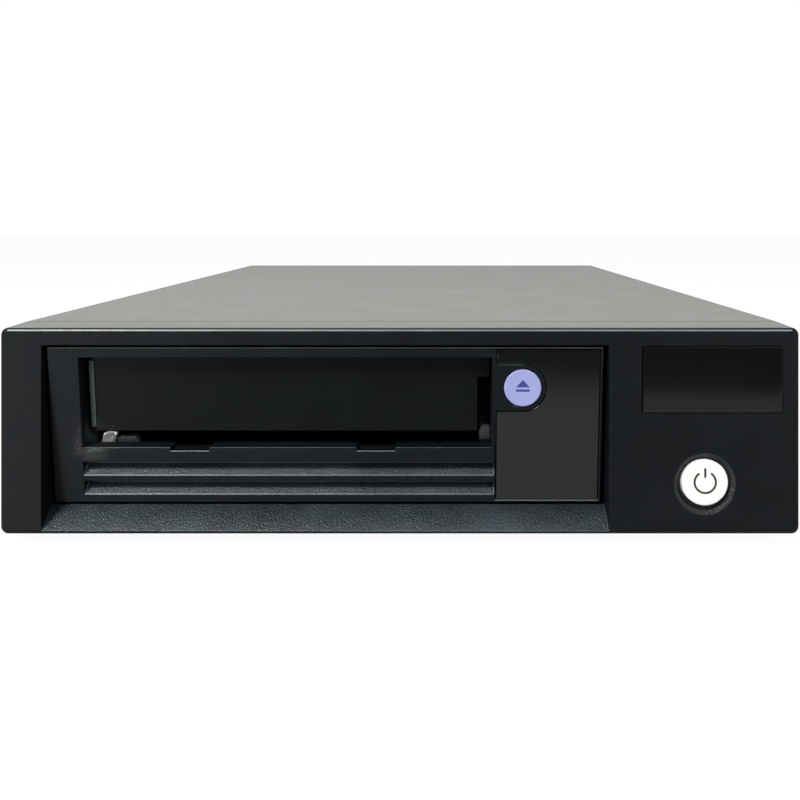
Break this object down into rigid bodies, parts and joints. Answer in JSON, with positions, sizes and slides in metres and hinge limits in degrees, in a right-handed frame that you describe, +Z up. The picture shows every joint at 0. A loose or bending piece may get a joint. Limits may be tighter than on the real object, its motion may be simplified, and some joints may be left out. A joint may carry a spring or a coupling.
{
  "type": "data tape drive",
  "caption": "Desktop half-height data tape drive: slim steel case, cartridge door, eject button and power button in a black front.",
  "frame": {"origin": "middle of the box round the object, on the surface it stands on", "axes": "+Z up, the front faces -Y, +X to the right seen from the front"},
  "size_m": [0.213, 0.3318, 0.058],
  "materials": {
    "fascia_plastic": "finely textured black moulding",
    "badge_plastic": "polished black",
    "smoked_plastic": "smooth smoked sheet",
    "white_plastic": "smooth white",
    "blue_plastic": "satin periwinkle",
    "grey_plastic": "moulded grey",
    "cover_paint": "textured black powder coat",
    "zinc_steel": "zinc-plated sheet steel",
    "screw_steel": "plated steel",
    "foot_rubber": "black rubber",
    "black_plastic": "moulded black",
    "nickel_brass": "nickel-plated brass",
    "cast_metal": "die-cast aluminium",
    "board_laminate": "green solder mask",
    "chip_resin": "moulded resin",
    "winding_tape": "yellow winding tape over ferrite",
    "motor_steel": "turned steel",
    "gear_plastic": "natural acetal",
    "cable_sheath": "flexible sheath"
  },
  "bodies": {
    "enclosure": {"front_fascia": "fascia_plastic", "badge_plate": "badge_plastic", "power_switch": "black_plastic", "switch_board": "board_laminate", "base_chassis": "zinc_steel", "rubber_feet": "foot_rubber", "top_cover": "cover_paint", "rear_panel": "cover_paint", "case_screws": "screw_steel", "mains_inlet": "black_plastic", "inlet_pins": "nickel_brass", "data_ports": "zinc_steel", "port_tongues": "black_plastic", "fan_frame": "black_plastic", "psu_frame": "zinc_steel", "psu_board": "board_laminate", "psu_transformer": "winding_tape", "psu_capacitors": "black_plastic", "psu_heat_sinks": "cast_metal", "drive_bezel": "fascia_plastic", "door_spring": "screw_steel", "eject_panel": "smoked_plastic", "front_board": "board_laminate", "guide_rib": "white_plastic", "guide_post": "grey_plastic", "drive_casting": "cast_metal", "drive_bottom_cover": "zinc_steel", "drive_top_cover": "zinc_steel", "drive_brackets": "zinc_steel", "drive_screws": "screw_steel", "main_board": "board_laminate", "board_chips": "chip_resin", "drive_plugs": "black_plastic", "tray_guides": "grey_plastic", "loader_motor": "screw_steel", "motor_bracket": "zinc_steel", "flat_motors": "motor_steel", "roller_pins": "screw_steel", "threading_track": "screw_steel", "head_guide_posts": "screw_steel", "data_cables": "cable_sheath", "supply_wires": "cable_sheath", "signal_wires": "cable_sheath"},
    "door": {"cartridge_door": "fascia_plastic"},
    "eject_button": {"eject_button": "blue_plastic"},
    "power_button": {"power_button": "white_plastic"},
    "fan_rotor": {"fan_rotor": "black_plastic"},
    "supply_chuck": {"supply_chuck": "motor_steel"},
    "take_up_reel": {"take_up_reel": "gear_plastic"},
    "cam_slider": {"cam_slider": "grey_plastic"},
    "cartridge_tray": {"cartridge_tray": "zinc_steel"},
    "loader_gear": {"loader_gear": "gear_plastic"},
    "motor_pinion": {"motor_pinion": "gear_plastic"},
    "head": {"head_carriage": "cast_metal", "tape_head": "chip_resin"},
    "head_screw": {"head_screw": "screw_steel"},
    "guide_roller_1": {"guide_roller_1": "gear_plastic"},
    "guide_roller_2": {"guide_roller_2": "gear_plastic"},
    "guide_roller_3": {"guide_roller_3": "gear_plastic"},
    "guide_roller_4": {"guide_roller_4": "gear_plastic"}
  },
  "joints": [
    {"name": "door_hinge", "type": "hinge", "parent": "enclosure", "child": "door", "pos_m": [-0.03047, -0.1527, 0.05], "axis": [1, 0, 0], "range_deg": [0, 88], "stiffness_Nm_per_rad": 0.0006, "springref_deg": -28.65},
    {"name": "eject_press", "type": "slide", "parent": "enclosure", "child": "eject_button", "axis": [0, 1, 0], "range_m": [0, 0.0008], "stiffness_N_per_m": 900, "springref_m": -0.001},
    {"name": "power_press", "type": "slide", "parent": "enclosure", "child": "power_button", "axis": [0, 0.9917, -0.1288], "range_m": [0, 0.0015], "stiffness_N_per_m": 700, "springref_m": -0.001},
    {"name": "fan_spin", "type": "hinge", "parent": "enclosure", "child": "fan_rotor", "pos_m": [0.03, 0.153, 0.03], "axis": [0, 1, 0], "continuous": true},
    {"name": "chuck_spin", "type": "hinge", "parent": "enclosure", "child": "supply_chuck", "pos_m": [-0.03105, -0.086, 0.0195], "axis": [0, 0, 1], "continuous": true},
    {"name": "reel_spin", "type": "hinge", "parent": "enclosure", "child": "take_up_reel", "pos_m": [-0.034, 0.01, 0.0195], "axis": [0, 0, 1], "continuous": true},
    {"name": "guide_roller_1_spin", "type": "hinge", "parent": "enclosure", "child": "guide_roller_1", "pos_m": [0.0275, -0.024, 0.03315], "axis": [0, 0, 1], "continuous": true},
    {"name": "guide_roller_2_spin", "type": "hinge", "parent": "enclosure", "child": "guide_roller_2", "pos_m": [0.036, -0.0145, 0.03315], "axis": [0, 0, 1], "continuous": true},
    {"name": "guide_roller_3_spin", "type": "hinge", "parent": "enclosure", "child": "guide_roller_3", "pos_m": [0.036, 0.0245, 0.03315], "axis": [0, 0, 1], "continuous": true},
    {"name": "guide_roller_4_spin", "type": "hinge", "parent": "enclosure", "child": "guide_roller_4", "pos_m": [0.024, 0.04, 0.03315], "axis": [0, 0, 1], "continuous": true},
    {"name": "slider_travel", "type": "slide", "parent": "enclosure", "child": "cam_slider", "axis": [0, 1, 0], "range_m": [0, 0.016]},
    {"name": "tray_lower", "type": "slide", "parent": "enclosure", "child": "cartridge_tray", "axis": [0, 0, 1], "range_m": [-0.004, 0]},
    {"name": "loader_gear_spin", "type": "hinge", "parent": "enclosure", "child": "loader_gear", "pos_m": [0.03538, -0.098, 0.0186], "axis": [0, 0, 1], "range_deg": [-116, 0]},
    {"name": "motor_pinion_spin", "type": "hinge", "parent": "enclosure", "child": "motor_pinion", "pos_m": [0.04188, -0.08674, 0.0186], "axis": [0, 0, 1], "range_deg": [0, 383]},
    {"name": "head_lift", "type": "slide", "parent": "enclosure", "child": "head", "axis": [0, 0, 1], "range_m": [-0.003, 0.003]},
    {"name": "head_screw_spin", "type": "hinge", "parent": "enclosure", "child": "head_screw", "pos_m": [0.045, 0.005, 0.017], "axis": [0, 0, 1], "range_deg": [-541, 541]}
  ],
  "couplings": [
    {"joint": "tray_lower", "follows": "slider_travel", "ratio": -0.25},
    {"joint": "loader_gear_spin", "follows": "slider_travel", "rad_per_m": -125},
    {"joint": "motor_pinion_spin", "follows": "slider_travel", "rad_per_m": 416.67},
    {"joint": "head_screw_spin", "follows": "head_lift", "rad_per_m": -3141.6}
  ]
}
